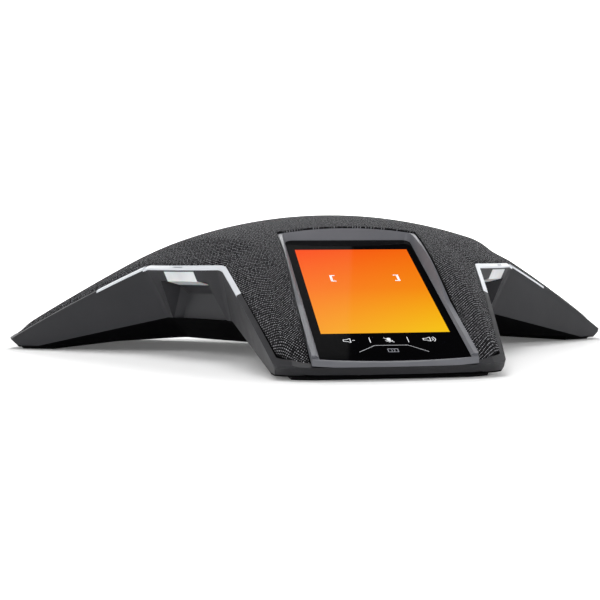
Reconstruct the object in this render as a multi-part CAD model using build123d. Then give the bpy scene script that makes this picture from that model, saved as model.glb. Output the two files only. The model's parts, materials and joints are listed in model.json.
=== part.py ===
from build123d import *
import os
from math import atan, cos, hypot, radians, sin, sqrt, tan

# Three-legged conference telephone. Lengths are millimetres, angles are degrees.
# The part is modelled about the vertical axis of its hub, with the front leg along -Y,
# and is moved to the centre of its footprint as it is written.

# Driving dimensions: plan
LEG_ANGLES = {"front": -90.0, "right": 30.0, "left": 150.0}
ARCH_ANGLES = {"rear": 90.0, "front_left": 210.0, "front_right": -30.0}
TIP_RADIUS = 187.5          # hub axis to the lip at a leg's end
LEG_ROOT_R = 79.8           # where a leg's wall meets the arch wall
LEG_ROOT_HALF = 64.6        # half width of a leg there, at the wall's top edge
LEG_WALL_TAPER = 0.0546     # how fast the leg narrows towards its tip, at one height
LEG_WALL_LEAN = 0.25        # how far the leg's wall leans in, per mm down
TIP_FLAT_HALF = 31.8        # a leg's end follows the tip radius this far each side of its axis
TIP_SHOULDER = 10.7         # how far it then falls back, in an arc, to the leg's side
TIP_CORNER = 6.0
VALLEY_FILLET = 9.0
ARCH_CURVE = 201.8          # plan radius of an arch wall at its top edge
ARCH_CENTRE = -103.4        # where that radius is struck from, across the hub
ARCH_LEAN = 0.45

# Driving dimensions: heights
DOME_HEIGHT = 74.5
DOME_RADIUS = 245.0
SKIRT_ANGLE = 29.2          # the dome runs out into a cone of this slope
WALL_TOP = 45.5             # top edge of the arch walls
CREST_HEIGHT = 47.3         # foot of the cloth above an arch
CREST_CURVE = 200.0         # plan radius of that line
ARCH_FLANK = 0.8            # slope of the dome's flank above an arch
LEG_FLANK = 0.5             # cross slope of a leg's flank
LEG_FLANK_START = 78.4      # height of the flank's ridge line at the leg's root
LEG_FLANK_FALL = 0.4989     # how fast it falls towards the tip
LEG_FLANK_BOW = 1.2         # how far it bows above a straight line
VALLEY_APEX = 56.9          # where the valleys beside a leg would meet on its axis
VALLEY_SPLAY = 0.368
LIP_HEIGHT = 6.2
BEVEL_TOP = 19.7            # lower edge of the arch walls
BEVEL_ROOT_R = 68.6
BEVEL_ROOT_HALF = 58.5
BEVEL_SPREAD = 0.0963
BASE_HEIGHT = 1.5           # underside of the legs
BELLY_HEIGHT = 9.0          # underside of the hub
BELLY_RADIUS = 74.0
BELLY_FOOT = 168.0          # the underside slopes down from the hub to here

# Driving dimensions: shells
CLOTH = 0.9
COVER = 2.0
WALL = 2.4
TIP_WALL = 3.4              # the rim is broader at a leg's end
FLOOR = 2.0
GAP = 0.3

# Driving dimensions: display
DISPLAY_TILT = 22.9
DISPLAY_R = 119.4           # centre of the active area
DISPLAY_Z = 36.5
GLASS_HALF = 31.8
GLASS_TOP = 59.3
GLASS_CORNER_END = -70.3    # the lower edge of the glass is an arc
GLASS_END = -72.6
GLASS_CORNER = 4.0
GLASS = 1.1
BEZEL_HALF = 35.0
BEZEL_TOP_R = 62.2
BEZEL_CORNER_R = 63.2
BEZEL_DEPTH = 2.4
BEZEL_LIP_BOTTOM = 5.9
BEZEL_SINK = 0.7            # bezel below the cloth beside it
RAIL_HEIGHT = 1.2
RAIL_END = -69.0
LCD = (61.0, 101.0, 3.0)

# Driving dimensions: pockets, lenses and trims in the arches
POCKET_BACK = 81.5
POCKET_SLANT = 0.4294
POCKET_CHAMFER = 3.2
POCKET_WALL = 2.0
LENS_HALF = 14.0
LENS_BACK = 88.0
TRIM = 0.9
TRIM_END_R = 112.0
SLOT = (9.0, 1.0)
FOOT_R = (152.0, 177.0)
FOOT_HALF = 42.0
FOOT_SEAT = 1.4             # how far a foot is let into the base

# Driving dimensions: inside
BOARD_Z = 19.2
BOARD = 1.6
BOARD_RADIUS = 57.0
CHAMBER = (50.0, 48.0, 24.0, 56.8)   # outer and inner radius, underside and rim height
CHAMBER_FOOT_R = 43.0
FLANGE_TOP = 58.0
FLANGE_INNER = 36.5
POLE = 9.2
COIL = (9.6, 10.2)
CONE_EDGE = 31.0
SPEAKER_SCREW_R = 45.5
LEG_SCREW = (130.0, 40.5)   # along the leg and to each side of its axis
HUB_SCREW_R = 70.0
HUB_SCREW_ANGLES = (62.0, 118.0, 182.0, -2.0)
SCREW = 1.5
TRAY_BACK = -GLASS - 0.1 - LCD[2] - 1.2
LUG_U = 33.4
LUG_V = 40.0
SOUND_SLOT_DEPTH = 12.0

DISPLAY = Plane(
    origin=(0, -DISPLAY_R, DISPLAY_Z),
    x_dir=(1, 0, 0),
    z_dir=(0, -sin(radians(DISPLAY_TILT)), cos(radians(DISPLAY_TILT))),
)
HIGH = 90.0
DEEP = -5.0


def turned(shape, angle):
    """A shape drawn along +X, turned about the hub axis to face an angle."""
    return Rot(0, 0, angle) * shape


def flank_ridge(r):
    """Height of a leg's flank surface, carried up to the leg's own axis."""
    mid = (LEG_ROOT_R + 171.8) / 2
    bow = LEG_FLANK_BOW * (1 - ((r - mid) / (mid - LEG_ROOT_R)) ** 2)
    return LEG_FLANK_START - LEG_FLANK_FALL * (r - LEG_ROOT_R) + bow


def dome(inset):
    """The dome and the cone it runs into, as a solid of revolution."""
    radius = DOME_RADIUS - inset
    centre = DOME_HEIGHT - DOME_RADIUS
    angle = radians(SKIRT_ANGLE)
    join = (radius * sin(angle), centre + radius * cos(angle))
    half = (radius * sin(angle / 2), centre + radius * cos(angle / 2))
    reach = 215.0
    edge = (reach, join[1] - tan(angle) * (reach - join[0]))
    outline = make_face(
        [
            Edge.make_three_point_arc((0, 0, centre + radius), (half[0], 0, half[1]), (join[0], 0, join[1])),
            Edge.make_line((join[0], 0, join[1]), (edge[0], 0, edge[1])),
            Edge.make_line((edge[0], 0, edge[1]), (edge[0], 0, DEEP - 20)),
            Edge.make_line((edge[0], 0, DEEP - 20), (0, 0, DEEP - 20)),
            Edge.make_line((0, 0, DEEP - 20), (0, 0, centre + radius)),
        ]
    )
    return revolve(outline, Axis.Z, 360)


def arch_flank(inset):
    """The three cones that carry the dome's flanks down to the arches."""
    shift = inset / sin(atan(ARCH_FLANK))
    low = CREST_CURVE - shift + (CREST_HEIGHT - DEEP) / ARCH_FLANK
    high = CREST_CURVE - shift - (HIGH - CREST_HEIGHT) / ARCH_FLANK
    cone = Pos(ARCH_CENTRE, 0, (HIGH + DEEP) / 2) * Cone(low, high, HIGH - DEEP)
    cones = [turned(cone, angle) for angle in ARCH_ANGLES.values()]
    return cones[0] & cones[1] & cones[2]


def leg_flank(inset):
    """A leg's two flanks, within the sector between its valleys."""
    drop = inset * sqrt(1 + LEG_FLANK**2 + LEG_FLANK_FALL**2)
    reach = 90.0
    near, far = 30.0, 215.0
    middle = (near + far) / 2
    sides = []
    for side in (1, -1):
        lift = LEG_FLANK * reach - drop
        corners = [(r, -side * reach, flank_ridge(r) + lift) for r in (near, middle, far)]
        face = make_face(
            [
                Edge.make_three_point_arc(*corners),
                Edge.make_line(corners[2], (far, -side * reach, -60)),
                Edge.make_line((far, -side * reach, -60), (near, -side * reach, -60)),
                Edge.make_line((near, -side * reach, -60), corners[0]),
            ]
        )
        sweep = Vector(0, side, -LEG_FLANK)
        sides.append(extrude(face, amount=2 * reach * sweep.length, dir=sweep))
    span = 120.0
    sector = make_face(
        Polyline(
            (VALLEY_APEX, 0),
            (VALLEY_APEX + VALLEY_SPLAY * span, span),
            (VALLEY_APEX + 2 * span, span),
            (VALLEY_APEX + 2 * span, -span),
            (VALLEY_APEX + VALLEY_SPLAY * span, -span),
            close=True,
        )
    )
    prism = Pos(0, 0, DEEP) * extrude(sector, amount=HIGH - DEEP)
    return sides[0] & sides[1] & prism


def top(inset):
    """Everything under the top surface, set in by a distance."""
    flanks = arch_flank(inset)
    leg = leg_flank(inset)
    for angle in LEG_ANGLES.values():
        flanks = flanks + turned(leg, angle)
    return dome(inset) & flanks


def star(z, hub_curve, half_at_root, root_r, taper, tip, corner, valley):
    """One level section: three arch arcs, six leg sides and three leg ends of three arcs."""
    centre = Vector(ARCH_CENTRE, 0).rotate(Axis.Z, 60)

    def side(r):
        return half_at_root - taper * (r - root_r)

    def meet(start, stop):
        for _ in range(60):
            middle = (start + stop) / 2
            gap = (Vector(middle, side(middle)) - centre).length - hub_curve
            start, stop = (middle, stop) if gap < 0 else (start, middle)
        return Vector(start, side(start))

    root = meet(30.0, 140.0)
    shoulder = Vector(sqrt(tip**2 - TIP_FLAT_HALF**2), TIP_FLAT_HALF)
    end_r = shoulder.X - TIP_SHOULDER
    end = Vector(end_r, side(end_r))
    chord = end - shoulder
    turn = radians(Vector(-shoulder.Y, shoulder.X).get_angle(chord))
    bow = (shoulder + end) * 0.5 + Vector(chord.Y, -chord.X) * (tan(turn / 2) / 2)
    edges = []
    ends = []
    for angle in LEG_ANGLES.values():
        points = [
            Vector(root.X, -root.Y),
            Vector(end.X, -end.Y),
            Vector(bow.X, -bow.Y),
            Vector(shoulder.X, -shoulder.Y),
            Vector(tip, 0),
            shoulder,
            bow,
            end,
            root,
            Vector(ARCH_CENTRE + hub_curve, 0).rotate(Axis.Z, 60),
            Vector(root.X, -root.Y).rotate(Axis.Z, 120),
        ]
        p = [point.rotate(Axis.Z, angle) + Vector(0, 0, z) for point in points]
        edges += [
            Edge.make_line(p[0], p[1]),
            Edge.make_three_point_arc(p[1], p[2], p[3]),
            Edge.make_three_point_arc(p[3], p[4], p[5]),
            Edge.make_three_point_arc(p[5], p[6], p[7]),
            Edge.make_line(p[7], p[8]),
            Edge.make_three_point_arc(p[8], p[9], p[10]),
        ]
        ends += [p[1], p[7]]
    face = Face(Wire(edges))
    roots = [v for v in face.vertices() if sqrt(v.X**2 + v.Y**2) < root.length + 5]
    face = face.fillet_2d(valley, roots)
    tips = [v for v in face.vertices() if min((Vector(*v) - point).length for point in ends) < 0.01]
    return face.fillet_2d(corner, tips)


def wall_section(z, inset, tip_inset):
    return star(
        z,
        ARCH_CURVE - ARCH_LEAN * (WALL_TOP - z) - 1.1 * inset,
        LEG_ROOT_HALF - LEG_WALL_LEAN * (WALL_TOP - z) - 1.03 * inset,
        LEG_ROOT_R,
        LEG_WALL_TAPER,
        TIP_RADIUS - tip_inset,
        max(TIP_CORNER - inset, 3.0),
        VALLEY_FILLET + inset,
    )


def bevel_section(z, inset):
    drop = BEVEL_TOP - z + 1.41 * inset
    return star(
        z,
        ARCH_CURVE - ARCH_LEAN * (WALL_TOP - BEVEL_TOP) - drop,
        BEVEL_ROOT_HALF - drop,
        BEVEL_ROOT_R,
        -BEVEL_SPREAD,
        TIP_RADIUS + z - LIP_HEIGHT - 1.41 * inset,
        max(TIP_CORNER + z - LIP_HEIGHT - 1.41 * inset, 3.0),
        VALLEY_FILLET + 2.0,
    )


def walls(inset=0.0, tip_inset=0.0, low=DEEP, high=80.0):
    """The side walls, as a solid that leans in towards the table."""
    return loft([wall_section(low, inset, tip_inset), wall_section(high, inset, tip_inset)], ruled=True)


def bevel(inset=0.0):
    """The bevel under the walls, with open space above it."""
    high = BEVEL_TOP + 12.0
    space = Pos(0, 0, high + 40) * Box(500, 500, 80)
    return loft([bevel_section(0.0, inset), bevel_section(high, inset)], ruled=True) + space


def seam(raise_by=0.0):
    """Everything below the line where the walls meet the bottom cover."""
    z = BEVEL_TOP + raise_by
    low = 2.2 + raise_by
    face = make_face(
        Polyline(
            (-220, z), (BEVEL_ROOT_R, z), (157, low), (220, low), (220, -20), (-220, -20), close=True
        )
    )
    slab = extrude(Plane.XZ * face, amount=250, both=True)
    legs = [turned(slab, angle) for angle in LEG_ANGLES.values()]
    return legs[0] & legs[1] & legs[2]


def underside_height(rho):
    """Height of the sloping underside at a distance from the hub axis."""
    along = (rho - BELLY_RADIUS) / (BELLY_FOOT - BELLY_RADIUS)
    return BELLY_HEIGHT + (BASE_HEIGHT - BELLY_HEIGHT) * min(max(along, 0.0), 1.0)


def underside(raise_by=0.0):
    """The space under the part: the raised belly of the hub and the slope out to the legs' ends."""
    face = make_face(
        Polyline(
            (0, -30),
            (0, BELLY_HEIGHT + raise_by),
            (BELLY_RADIUS, BELLY_HEIGHT + raise_by),
            (BELLY_FOOT, BASE_HEIGHT + raise_by),
            (260, BASE_HEIGHT + raise_by),
            (260, -30),
            close=True,
        )
    )
    return revolve(Plane.XZ * face, Axis.Z, 360)


def in_display(shape):
    """A shape drawn on the display, x across, y up the screen and z out of it."""
    return DISPLAY * shape


def display_well(half, top_r, corner_r, above):
    """An upright prism over the display, from its top edge to beyond the leg's lip."""
    face = make_face(
        [
            Edge.make_three_point_arc((-half, -corner_r), (0, -top_r), (half, -corner_r)),
            Edge.make_line((half, -corner_r), (half, -220)),
            Edge.make_line((half, -220), (-half, -220)),
            Edge.make_line((-half, -220), (-half, -corner_r)),
        ]
    )
    prism = extrude(face, amount=HIGH)
    return prism & in_display(Pos(0, 0, above + 100) * Box(500, 500, 200))


def pocket(clear=0.0):
    """The hollow in an arch wall, over the bottom cover, drawn facing +X."""
    back, front = POCKET_BACK - clear, 108.0
    floor = BEVEL_TOP - 3 * clear / 2
    sections = []
    for rho, half, ceiling in ((back, 17.0, 36.0), (front, 26.9, 42.7)):
        wide = half + clear
        high = ceiling + clear
        foot = wide + POCKET_SLANT * (high - floor)
        plane = Plane(origin=(rho, 0, 0), x_dir=(0, 1, 0), z_dir=(1, 0, 0))
        sections.append(
            plane * make_face(Polyline((-foot, floor), (-wide, high), (wide, high), (foot, floor), close=True))
        )
    block = loft(sections, ruled=True)
    rear = block.faces().sort_by(Axis.X)[0]
    edges = [e for e in rear.edges() if e.center().Z > floor + 1]
    return chamfer(edges, POCKET_CHAMFER)


def lens_block(clear=0.0):
    """The light-pipe lens before the wall's outer surface trims its face, facing +X."""
    back = LENS_BACK - clear
    face = make_face(
        Polyline((110, 42.9), (97, 39.6), (back, 37.3), (back, 41.5), (92.5, 44.2), (110, 44.2), close=True)
    )
    return extrude(Plane.XZ * face, amount=LENS_HALF + clear, both=True)


def tube(outer, inner, low, high):
    return Pos(0, 0, (low + high) / 2) * (Cylinder(outer, high - low) - Cylinder(inner, high - low))


def disc(radius, low, high):
    return Pos(0, 0, (low + high) / 2) * Cylinder(radius, high - low)


def block(x, y, z):
    """A box given by its limits along each axis."""
    return Pos(sum(x) / 2, sum(y) / 2, sum(z) / 2) * Box(x[1] - x[0], y[1] - y[0], z[1] - z[0])


def lathe(*points):
    """A ring turned about the hub axis from points of radius and height."""
    return revolve(Plane.XZ * make_face(Polyline(*points, close=True)), Axis.Z, 360)


def sector():
    """The plan area around one arch, out to where its trim ends on each leg, facing +X."""
    far = TRIM_END_R / cos(radians(60))
    face = make_face(
        Polyline(
            (0, 0),
            (TRIM_END_R * cos(radians(60)), -TRIM_END_R * sin(radians(60))),
            (far, 0),
            (TRIM_END_R * cos(radians(60)), TRIM_END_R * sin(radians(60))),
            close=True,
        )
    )
    return extrude(face, amount=HIGH)


def glass_outline(clear=0.0):
    """The outline of the touch glass on the display plane."""
    half = GLASS_HALF + clear
    high = GLASS_TOP + clear
    face = make_face(
        [
            Edge.make_three_point_arc(
                (-half, GLASS_CORNER_END - clear), (0, GLASS_END - clear), (half, GLASS_CORNER_END - clear)
            ),
            Edge.make_line((half, GLASS_CORNER_END - clear), (half, high)),
            Edge.make_line((half, high), (-half, high)),
            Edge.make_line((-half, high), (-half, GLASS_CORNER_END - clear)),
        ]
    )
    return fillet(face.vertices().sort_by(Axis.Y)[-2:], GLASS_CORNER)


def display_recess():
    """The sloping well that the bezel leaves above the glass."""
    half = GLASS_HALF + 0.1
    high = GLASS_TOP + 0.2
    deep = 8.0
    low = make_face(Polyline((-half, -95), (half, -95), (half, high), (-half, high), close=True))
    wide, narrow = half + 8.6, half + 2.9
    up = make_face(
        Polyline((-wide, -95), (wide, -95), (narrow, high + 5.7), (-narrow, high + 5.7), close=True)
    )
    well = loft([low, Pos(0, 0, deep) * up], ruled=True)
    corners = [e for e in well.edges() if e.center().Y > 55 and 0.5 < e.center().Z < deep - 0.5]
    return in_display(fillet(corners, GLASS_CORNER))


class Shells:
    """The envelopes that several pieces share, worked out once."""

    outer = walls() & bevel() & top(0.0)
    body = outer - underside()
    inner = walls(WALL, TIP_WALL)
    inner_clear = walls(WALL + GAP, TIP_WALL + GAP)
    under_cloth = top(CLOTH)
    under_cover = top(CLOTH + COVER)
    under_trim = top(TRIM)
    low = seam()
    cavity = inner & bevel(FLOOR) & under_cover
    opening = display_well(BEZEL_HALF + 0.6, BEZEL_TOP_R - 0.6, BEZEL_CORNER_R - 0.6, -25.0)


def around(shape, angles):
    """Copies of a shape drawn facing +X, one for each angle, as a list."""
    return [turned(shape, angle) for angle in angles.values()]


def joined(shapes):
    total = shapes[0]
    for shape in shapes[1:]:
        total = total + shape
    return total


def cover_screw_places():
    """Centre and underside height of each screw that closes the body."""
    legs = [(LEG_SCREW[0], side * LEG_SCREW[1], underside_height(hypot(*LEG_SCREW))) for side in (-1, 1)]
    places = [Vector(*leg).rotate(Axis.Z, angle) for leg in legs for angle in LEG_ANGLES.values()]
    places += [Vector(HUB_SCREW_R, 0, BELLY_HEIGHT).rotate(Axis.Z, angle) for angle in HUB_SCREW_ANGLES]
    return places


def speaker_cloth():
    skin = (Shells.body - Shells.under_cloth) & Shells.inner_clear
    return skin - Shells.opening


def top_cover():
    shell = (Shells.under_cloth & Shells.body & Shells.inner_clear) - Shells.under_cover
    shell = shell - Shells.opening
    for place in cover_screw_places():
        boss = Pos(place.X, place.Y, place.Z + 4.6 + 40) * Cylinder(2.9, 80)
        shell = shell + (boss & Shells.under_cloth)
    for place in cover_screw_places():
        shell = shell - Pos(place.X, place.Y, place.Z + 4.6 + 6) * Cylinder(SCREW + 0.05, 13)
    holes = []
    for ring in range(1, 7):
        for step in range(6 * ring):
            centre = Vector(7.2 * ring, 0).rotate(Axis.Z, 360 * step / (6 * ring))
            holes.append(Pos(centre.X, centre.Y, 65) * Cylinder(2.4, 30))
    return shell - holes


def trim_band(angle):
    """The strip of rim over one arch, from leg to leg."""
    ring = (Shells.body - Shells.inner) & turned(sector(), angle)
    return ring - Shells.under_trim


def mic_slot():
    """The sound slot that runs in through a trim and the rim under it."""
    length, width = SLOT
    return Pos(97.5, 0, 46.4) * Rot(0, 40, 0) * Box(width, length, SOUND_SLOT_DEPTH)


def mic_trim(angle):
    return trim_band(angle) - turned(mic_slot(), angle)


def led_lens(angle):
    return turned(lens_block(), angle) & walls(0.05)


def socket_cutouts():
    """Openings in the rear pocket's back wall for the three sockets."""
    wall_span = (POCKET_BACK - 4, POCKET_BACK + 3)
    holes = block(wall_span, (-15.2, 1.2), (20.6, 32.5))
    holes = holes + block(wall_span, (2.8, 12.2), (20.6, 24.2))
    return holes + block(wall_span, (13.0, 18.4), (20.6, 26.0))


def side_housing():
    """The walls and arches, with the rim and the ledge that carries the top cover."""
    ring = Shells.body - Shells.inner
    shelf_ring = (Shells.inner - walls(WALL + 2.5, TIP_WALL + 2.5)) & Shells.under_cover
    shelf = (shelf_ring - top(CLOTH + COVER + 1.5)) & Shells.outer
    ring = ring + shelf
    ring = ring - Shells.low
    cuts = around(pocket(POCKET_WALL), ARCH_ANGLES) + [trim_band(angle) for angle in ARCH_ANGLES.values()]
    cuts += around(lens_block(0.1), ARCH_ANGLES) + around(mic_slot(), ARCH_ANGLES)
    for cut in cuts:
        ring = ring - cut
    well = display_well(BEZEL_HALF + GAP, BEZEL_TOP_R - GAP, BEZEL_CORNER_R - GAP, -BEZEL_DEPTH - 0.1)
    ring = ring - (well & Pos(0, 0, BEZEL_LIP_BOTTOM - 0.05 + 50) * Box(500, 500, 100))
    return ring.solids().sort_by(SortBy.VOLUME)[-1]


def arch_insert(angle):
    """The walls and ceiling of one arch's pocket, with the posts for the boards above it."""
    walled = (turned(pocket(POCKET_WALL), angle) & Shells.body) - Shells.low
    for side in (-1, 1):
        post = block((85, 90), sorted((side * 15.2, side * 17.5)), (37.5, 45.0))
        walled = walled + turned(post, angle)
    walled = walled - turned(pocket(), angle) - turned(lens_block(0.1), angle)
    if angle == ARCH_ANGLES["rear"]:
        walled = walled - turned(socket_cutouts(), angle)
    return walled


def bottom_cover():
    """The black tray with its bevel, raised belly, pocket floors and screw seats."""
    tray = (Shells.body & Shells.low) - (Shells.cavity - underside(FLOOR))
    for shelf in around(pocket(POCKET_WALL), ARCH_ANGLES):
        tray = tray + (shelf & Shells.body & Shells.low)
    for place in cover_screw_places():
        seat = Pos(place.X, place.Y, place.Z + 2.25) * Cylinder(5.0, 4.5)
        tray = tray + (seat - underside())
        tray = tray - Pos(place.X, place.Y, place.Z + 0.6) * Cylinder(3.2, 3.2)
        tray = tray - Pos(place.X, place.Y, place.Z + 3) * Cylinder(SCREW + 0.2, 6)
    for place in board_screw_places():
        low = BELLY_HEIGHT + 0.5
        post = Pos(place.X, place.Y, (low + BOARD_Z) / 2) * Cylinder(3.5, BOARD_Z - low)
        tray = tray + post
        tray = tray - Pos(place.X, place.Y, BOARD_Z - 3.5) * Cylinder(SCREW - 0.25, 7)
    for angle in LEG_ANGLES.values():
        tray = tray - foot(angle, 0.1)
    behind = in_display(block((-100, 100), (-100, 100), (-100, TRAY_BACK)))
    for x in (-22, 22):
        for y in (-150, -100):
            tray = tray + ((Pos(x, y, 33) * Cylinder(3, 60) & behind) - underside(0.5))
    return tray


def foot(angle, clear=0.0):
    """A rubber pad that fills the end of a leg and stands proud of the base."""
    half = FOOT_HALF + clear
    span = block((FOOT_R[0] - clear, FOOT_R[1] + clear), (-half, half), (0, BASE_HEIGHT + FOOT_SEAT + clear))
    return bevel(1.0 - clear) & turned(span, angle)


def display_bezel():
    """The frame around the glass, sunk in the cloth above and ending in a lip below."""
    well = display_well(BEZEL_HALF, BEZEL_TOP_R, BEZEL_CORNER_R, -BEZEL_DEPTH)
    rails = in_display(block((-60, 60), (RAIL_END, 80), (-20, RAIL_HEIGHT)))
    chin = in_display(block((-60, 60), (-90, 80), (-20, 0)))
    end = Pos(0, 0, BEZEL_LIP_BOTTOM + 40) * Cylinder(TIP_RADIUS, 80)
    skin = top(BEZEL_SINK) + rails + chin
    frame = (well & skin & end) - display_recess()
    seat = in_display(Pos(0, 0, -GLASS - 0.1) * extrude(glass_outline(0.1), amount=GLASS + 0.6))
    frame = frame - seat
    across, along = LCD[0] / 2 + 0.2, LCD[1] / 2 + 0.2
    frame = frame - in_display(block((-across, across), (-along, along), (-5, 5)))
    return frame - [in_display(Pos(u, v, -2) * Cylinder(0.85, 3.6)) for u, v in lug_places()]


def touch_glass():
    plate = Pos(0, 0, -GLASS) * extrude(glass_outline(), amount=GLASS)
    return in_display(plate)


def lcd_panel():
    top_w = -GLASS - 0.1
    return in_display(block((-LCD[0] / 2, LCD[0] / 2), (-LCD[1] / 2, LCD[1] / 2), (top_w - LCD[2], top_w)))


def lug_places():
    return [(u, v) for u in (-LUG_U, LUG_U) for v in (-LUG_V, LUG_V)]


def display_tray():
    """The sheet tray that backs the display, with its four lugs."""
    top_w = -BEZEL_DEPTH
    back = TRAY_BACK + 1.2
    tray = block((-33, 33), (-54, 54), (TRAY_BACK, top_w))
    tray = tray - block((-31, 31), (-51, 51), (back, 5))
    tray = tray - block((-8, 8), (30, 44), (-10, 5))
    for u, v in lug_places():
        tray = tray + block((u - 1.6, u + 1.6), (v - 3, v + 3), (top_w - 1.0, top_w))
    for u, v in lug_places():
        tray = tray - Pos(u, v, top_w - 2) * Cylinder(0.9, 6)
        tray = tray - Pos(u, v, top_w - 1.0 - 2) * Cylinder(1.6, 4)
    return in_display(tray)


def display_screws():
    """The four screws that pull the tray up to the bezel."""
    seat = -BEZEL_DEPTH - 1.0
    head = Pos(0, 0, seat - 0.4) * Cylinder(1.5, 0.8)
    shank = Pos(0, 0, seat + 1.3) * Cylinder(0.8, 2.6)
    one = head + shank
    return Compound([in_display(Pos(u, v, 0) * one) for u, v in lug_places()])


def contactless_coil():
    """The antenna board under the chin of the glass, with its winding's opening."""
    low = -BEZEL_DEPTH - 0.8
    board = block((-16, 16), (-64, -56.5), (low, low + 0.8))
    return in_display(board - block((-13, 13), (-62, -58.5), (low - 1, low + 2)))


def display_ribbon():
    """The flat cable from the display's back down to the main board, folded once."""
    thick = 0.3
    top_z, low = 60.0, BOARD_Z + BOARD
    drop = -83.7
    face = make_face(
        Polyline(
            (drop, top_z),
            (drop, low),
            (-48.0, low),
            (-48.0, low + thick),
            (drop + thick, low + thick),
            (drop + thick, top_z),
            close=True,
        )
    )
    strip = extrude(Plane.YZ * face, amount=6.0, both=True)
    return strip & in_display(block((-10, 10), (-100, 100), (-100, -GLASS - 0.1 - LCD[2])))


def board_screw_places():
    return [Vector(47.0, 0, 0).rotate(Axis.Z, angle) for angle in (45, 135, 225, 315)]


def main_board():
    """The main board: a disc with a tongue to the sockets in the rear arch."""
    board = disc(BOARD_RADIUS, BOARD_Z, BOARD_Z + BOARD)
    board = board + block((-20, 20), (0, POCKET_BACK - 2.3), (BOARD_Z, BOARD_Z + BOARD))
    for place in board_screw_places():
        board = board - Pos(place.X, place.Y, BOARD_Z) * Cylinder(SCREW + 0.1, 10)
    return board


def shield_cans():
    """Two pressed lids over the processor and the power stages."""
    low = BOARD_Z + BOARD
    cans = []
    for x, y in (((-28, -6), (-26, -8)), ((6, 30), (-30, -10))):
        lid = block(x, y, (low, low + 2.2))
        inside = block((x[0] + 0.3, x[1] - 0.3), (y[0] + 0.3, y[1] - 0.3), (low - 1, low + 1.9))
        cans.append(lid - inside)
    return joined(cans)


def processor():
    low = BOARD_Z + BOARD
    return block((-23, -11), (-23, -11), (low, low + 1.2))


def network_jack():
    """The eight-way network socket, with its keyed mouth facing the rear pocket."""
    low = BOARD_Z + BOARD
    face = POCKET_BACK - 0.2
    shell = block((60.5, face), (-15, 1), (low, 32.3))
    mouth = block((face - 12.5, face + 1), (-12.9, -1.1), (low + 2.0, low + 8.8))
    latch = block((face - 12.5, face + 1), (-10.0, -4.0), (low + 8.7, low + 10.4))
    return turned(shell - mouth - latch, ARCH_ANGLES["rear"])


def usb_socket():
    low = BOARD_Z + BOARD
    face = POCKET_BACK - 0.2
    shell = block((74, face), (3.0, 12.0), (low, low + 3.2))
    mouth = block((face - 6.0, face + 1), (3.35, 11.65), (low + 0.35, low + 2.85))
    tongue = block((face - 6.0, face - 1.0), (4.2, 10.8), (low + 1.25, low + 1.95))
    shell = shell - mouth
    return turned(shell + tongue, ARCH_ANGLES["rear"])


def audio_jack():
    low = BOARD_Z + BOARD
    face = POCKET_BACK - 0.2
    shell = block((68, face), (13.2, 18.2), (low, low + 5.0))
    bore = Pos(face - 5.5, 15.7, low + 2.5) * Rot(0, 90, 0) * Cylinder(1.8, 13)
    return turned(shell - bore, ARCH_ANGLES["rear"])


def wireless_antenna():
    """A small aerial board standing in the left leg, away from the metal."""
    near = 118.0
    floor = underside_height(near) + FLOOR
    return turned(block((near, near + 22), (-0.4, 0.4), (floor, floor + 12)), LEG_ANGLES["left"])


def mic_board(angle):
    """A microphone board on its posts behind a trim's slot, with its capsule."""
    board = block((82.5, 91.5), (-17.5, 17.5), (45.0, 45.8))
    capsule = block((88.0, 91.2), (-1.5, 1.5), (45.8, 46.7))
    return turned(board + capsule, angle)


def led_board(angle):
    """The lamp board behind a lens, with three lamps facing it."""
    board = block((85.6, 86.6), (-15.2, 15.2), (40.2, 44.4))
    for a in (-8, 0, 8):
        board = board + block((86.6, 87.4), (a - 1.5, a + 1.5), (40.5, 41.2))
    return turned(board, angle)


def mic_ribbons():
    """Three flat cables, one from each arch's boards down to the main board."""
    low = BOARD_Z + BOARD
    thick = 0.2
    under = 45.0
    strip = make_face(
        Polyline(
            (84.5, under),
            (78.4, under),
            (78.4, low + thick),
            (54.0, low + thick),
            (54.0, low),
            (78.4 + thick, low),
            (78.4 + thick, under - thick),
            (84.5, under - thick),
            close=True,
        )
    )
    ribbon = Pos(0, -18, 0) * extrude(Plane.XZ * strip, amount=2.0, both=True)
    return Compound(around(ribbon, ARCH_ANGLES))


def speaker_chamber():
    """The sealed cup behind the loudspeaker, with its feet and screw bosses."""
    outer, inner, low, rim = CHAMBER
    cup = tube(outer, inner, low, rim) + disc(outer, low, low + 2)
    for angle in (0, 90, 180, 270):
        foot_z = (BOARD_Z + BOARD + low) / 2
        cup = cup + turned(Pos(CHAMBER_FOOT_R, 0, foot_z) * Cylinder(3, low - BOARD_Z - BOARD), angle)
        boss = Pos(SPEAKER_SCREW_R, 0, rim - 4) * (Cylinder(3, 8) - Cylinder(1.3, 8))
        cup = cup + turned(boss, angle + 45)
    for angle in (45, 135, 225, 315):
        cup = cup - turned(Pos(SPEAKER_SCREW_R, 0, rim - 4) * Cylinder(1.3, 8), angle)
    return cup


def speaker_basket():
    """The stamped frame: a flange on the chamber, six spokes and a seat for the motor."""
    rim = CHAMBER[3]
    frame = lathe(
        (FLANGE_INNER, FLANGE_TOP),
        (CHAMBER[0] - 0.1, FLANGE_TOP),
        (CHAMBER[0] - 0.1, rim),
        (FLANGE_INNER + 1.6, rim),
        (25.2, 38.3),
        (12.0, 38.3),
        (12.0, 39.5),
        (24.4, 39.5),
    )
    for angle in range(0, 360, 60):
        window = block((24, 36), (-8.5, 8.5), (40.5, 55.0))
        frame = frame - turned(window, angle)
    for angle in (45, 135, 225, 315):
        frame = frame - turned(Pos(SPEAKER_SCREW_R, 0, rim) * Cylinder(SCREW + 0.1, 6), angle)
    return frame


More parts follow.
